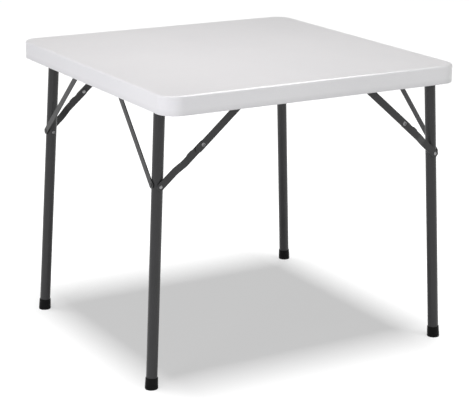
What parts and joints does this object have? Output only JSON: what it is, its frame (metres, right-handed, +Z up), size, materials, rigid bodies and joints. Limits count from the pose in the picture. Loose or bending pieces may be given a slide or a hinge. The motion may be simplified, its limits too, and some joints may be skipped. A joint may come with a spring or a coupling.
{
  "type": "folding card table",
  "caption": "Square folding card table: moulded plastic top with a deep skirt, splayed tubular steel legs that fold up inside the skirt, and folding braces.",
  "frame": {"origin": "on the floor, under the middle of the top", "axes": "+Z up, +X to the right towards the wide leg frame, +Y to the back; both fold axes run along Y"},
  "size_m": [0.8538, 0.838, 0.744],
  "materials": {
    "top_plastic": "off-white blow-moulded polyethylene, fine satin grain",
    "frame_paint": "charcoal powder coat, satin",
    "cap_plastic": "black moulded plastic, satin",
    "bare_steel": "dulled zinc-plated steel",
    "nylon": "natural nylon, matt"
  },
  "bodies": {
    "top": {"tabletop": "top_plastic", "plate_screws": "bare_steel", "left_pivot_bushes": "nylon", "right_pivot_bushes": "nylon", "front_left_mounting_plate": "frame_paint", "front_left_anchor_rivet": "bare_steel", "back_left_mounting_plate": "frame_paint", "back_left_anchor_rivet": "bare_steel", "front_right_mounting_plate": "frame_paint", "front_right_anchor_rivet": "bare_steel", "back_right_mounting_plate": "frame_paint", "back_right_anchor_rivet": "bare_steel"},
    "left_legs": {"left_cross_tube": "frame_paint", "left_push_nuts": "bare_steel", "left_gusset_rivets": "frame_paint", "front_left_leg": "frame_paint", "front_left_foot_cap": "cap_plastic", "front_left_gusset": "frame_paint", "front_left_pivot_plug": "bare_steel", "front_left_hub_rivet": "bare_steel", "front_left_hub_washer": "nylon", "back_left_leg": "frame_paint", "back_left_foot_cap": "cap_plastic", "back_left_gusset": "frame_paint", "back_left_pivot_plug": "bare_steel", "back_left_hub_rivet": "bare_steel", "back_left_hub_washer": "nylon"},
    "right_legs": {"right_cross_tube": "frame_paint", "right_push_nuts": "bare_steel", "right_gusset_rivets": "frame_paint", "front_right_leg": "frame_paint", "front_right_foot_cap": "cap_plastic", "front_right_gusset": "frame_paint", "front_right_pivot_plug": "bare_steel", "front_right_hub_rivet": "bare_steel", "front_right_hub_washer": "nylon", "back_right_leg": "frame_paint", "back_right_foot_cap": "cap_plastic", "back_right_gusset": "frame_paint", "back_right_pivot_plug": "bare_steel", "back_right_hub_rivet": "bare_steel", "back_right_hub_washer": "nylon"},
    "front_left_upper_brace": {"front_left_upper_link": "frame_paint", "front_left_mid_rivet_outer": "bare_steel"},
    "front_left_lower_brace": {"front_left_lower_link": "frame_paint", "front_left_mid_rivet_inner": "bare_steel"},
    "back_left_upper_brace": {"back_left_upper_link": "frame_paint", "back_left_mid_rivet_outer": "bare_steel"},
    "back_left_lower_brace": {"back_left_lower_link": "frame_paint", "back_left_mid_rivet_inner": "bare_steel"},
    "front_right_upper_brace": {"front_right_upper_link": "frame_paint", "front_right_mid_rivet_outer": "bare_steel"},
    "front_right_lower_brace": {"front_right_lower_link": "frame_paint", "front_right_mid_rivet_inner": "bare_steel"},
    "back_right_upper_brace": {"back_right_upper_link": "frame_paint", "back_right_mid_rivet_outer": "bare_steel"},
    "back_right_lower_brace": {"back_right_lower_link": "frame_paint", "back_right_mid_rivet_inner": "bare_steel"}
  },
  "joints": [
    {"name": "left_fold", "type": "hinge", "parent": "top", "child": "left_legs", "pos_m": [-0.373, 0, 0.709], "axis": [0, -1, 0], "range_deg": [0, 93.03]},
    {"name": "right_fold", "type": "hinge", "parent": "top", "child": "right_legs", "pos_m": [0.373, 0, 0.709], "axis": [0, 1, 0], "range_deg": [0, 93.03]},
    {"name": "front_left_upper_swing", "type": "hinge", "parent": "top", "child": "front_left_upper_brace", "pos_m": [-0.148, 0, 0.709], "axis": [0, 1, 0], "range_deg": [0, 40.7]},
    {"name": "front_left_lower_swing", "type": "hinge", "parent": "left_legs", "child": "front_left_lower_brace", "pos_m": [-0.38367, 0, 0.50728], "axis": [0, -1, 0], "range_deg": [0, 46.6]},
    {"name": "back_left_upper_swing", "type": "hinge", "parent": "top", "child": "back_left_upper_brace", "pos_m": [-0.148, 0, 0.709], "axis": [0, 1, 0], "range_deg": [0, 40.7]},
    {"name": "back_left_lower_swing", "type": "hinge", "parent": "left_legs", "child": "back_left_lower_brace", "pos_m": [-0.38367, 0, 0.50728], "axis": [0, -1, 0], "range_deg": [0, 46.6]},
    {"name": "front_right_upper_swing", "type": "hinge", "parent": "top", "child": "front_right_upper_brace", "pos_m": [0.148, 0, 0.709], "axis": [0, -1, 0], "range_deg": [0, 40.7]},
    {"name": "front_right_lower_swing", "type": "hinge", "parent": "right_legs", "child": "front_right_lower_brace", "pos_m": [0.38367, 0, 0.50728], "axis": [0, 1, 0], "range_deg": [0, 46.6]},
    {"name": "back_right_upper_swing", "type": "hinge", "parent": "top", "child": "back_right_upper_brace", "pos_m": [0.148, 0, 0.709], "axis": [0, -1, 0], "range_deg": [0, 40.7]},
    {"name": "back_right_lower_swing", "type": "hinge", "parent": "right_legs", "child": "back_right_lower_brace", "pos_m": [0.38367, 0, 0.50728], "axis": [0, 1, 0], "range_deg": [0, 46.6]}
  ],
  "couplings": [
    {"joint": "front_left_upper_swing", "follows": "left_fold", "ratio": 0.43601},
    {"joint": "front_left_lower_swing", "follows": "left_fold", "ratio": 0.49889},
    {"joint": "back_left_upper_swing", "follows": "left_fold", "ratio": 0.43601},
    {"joint": "back_left_lower_swing", "follows": "left_fold", "ratio": 0.49889},
    {"joint": "front_right_upper_swing", "follows": "right_fold", "ratio": 0.43601},
    {"joint": "front_right_lower_swing", "follows": "right_fold", "ratio": 0.49889},
    {"joint": "back_right_upper_swing", "follows": "right_fold", "ratio": 0.43601},
    {"joint": "back_right_lower_swing", "follows": "right_fold", "ratio": 0.49889}
  ]
}
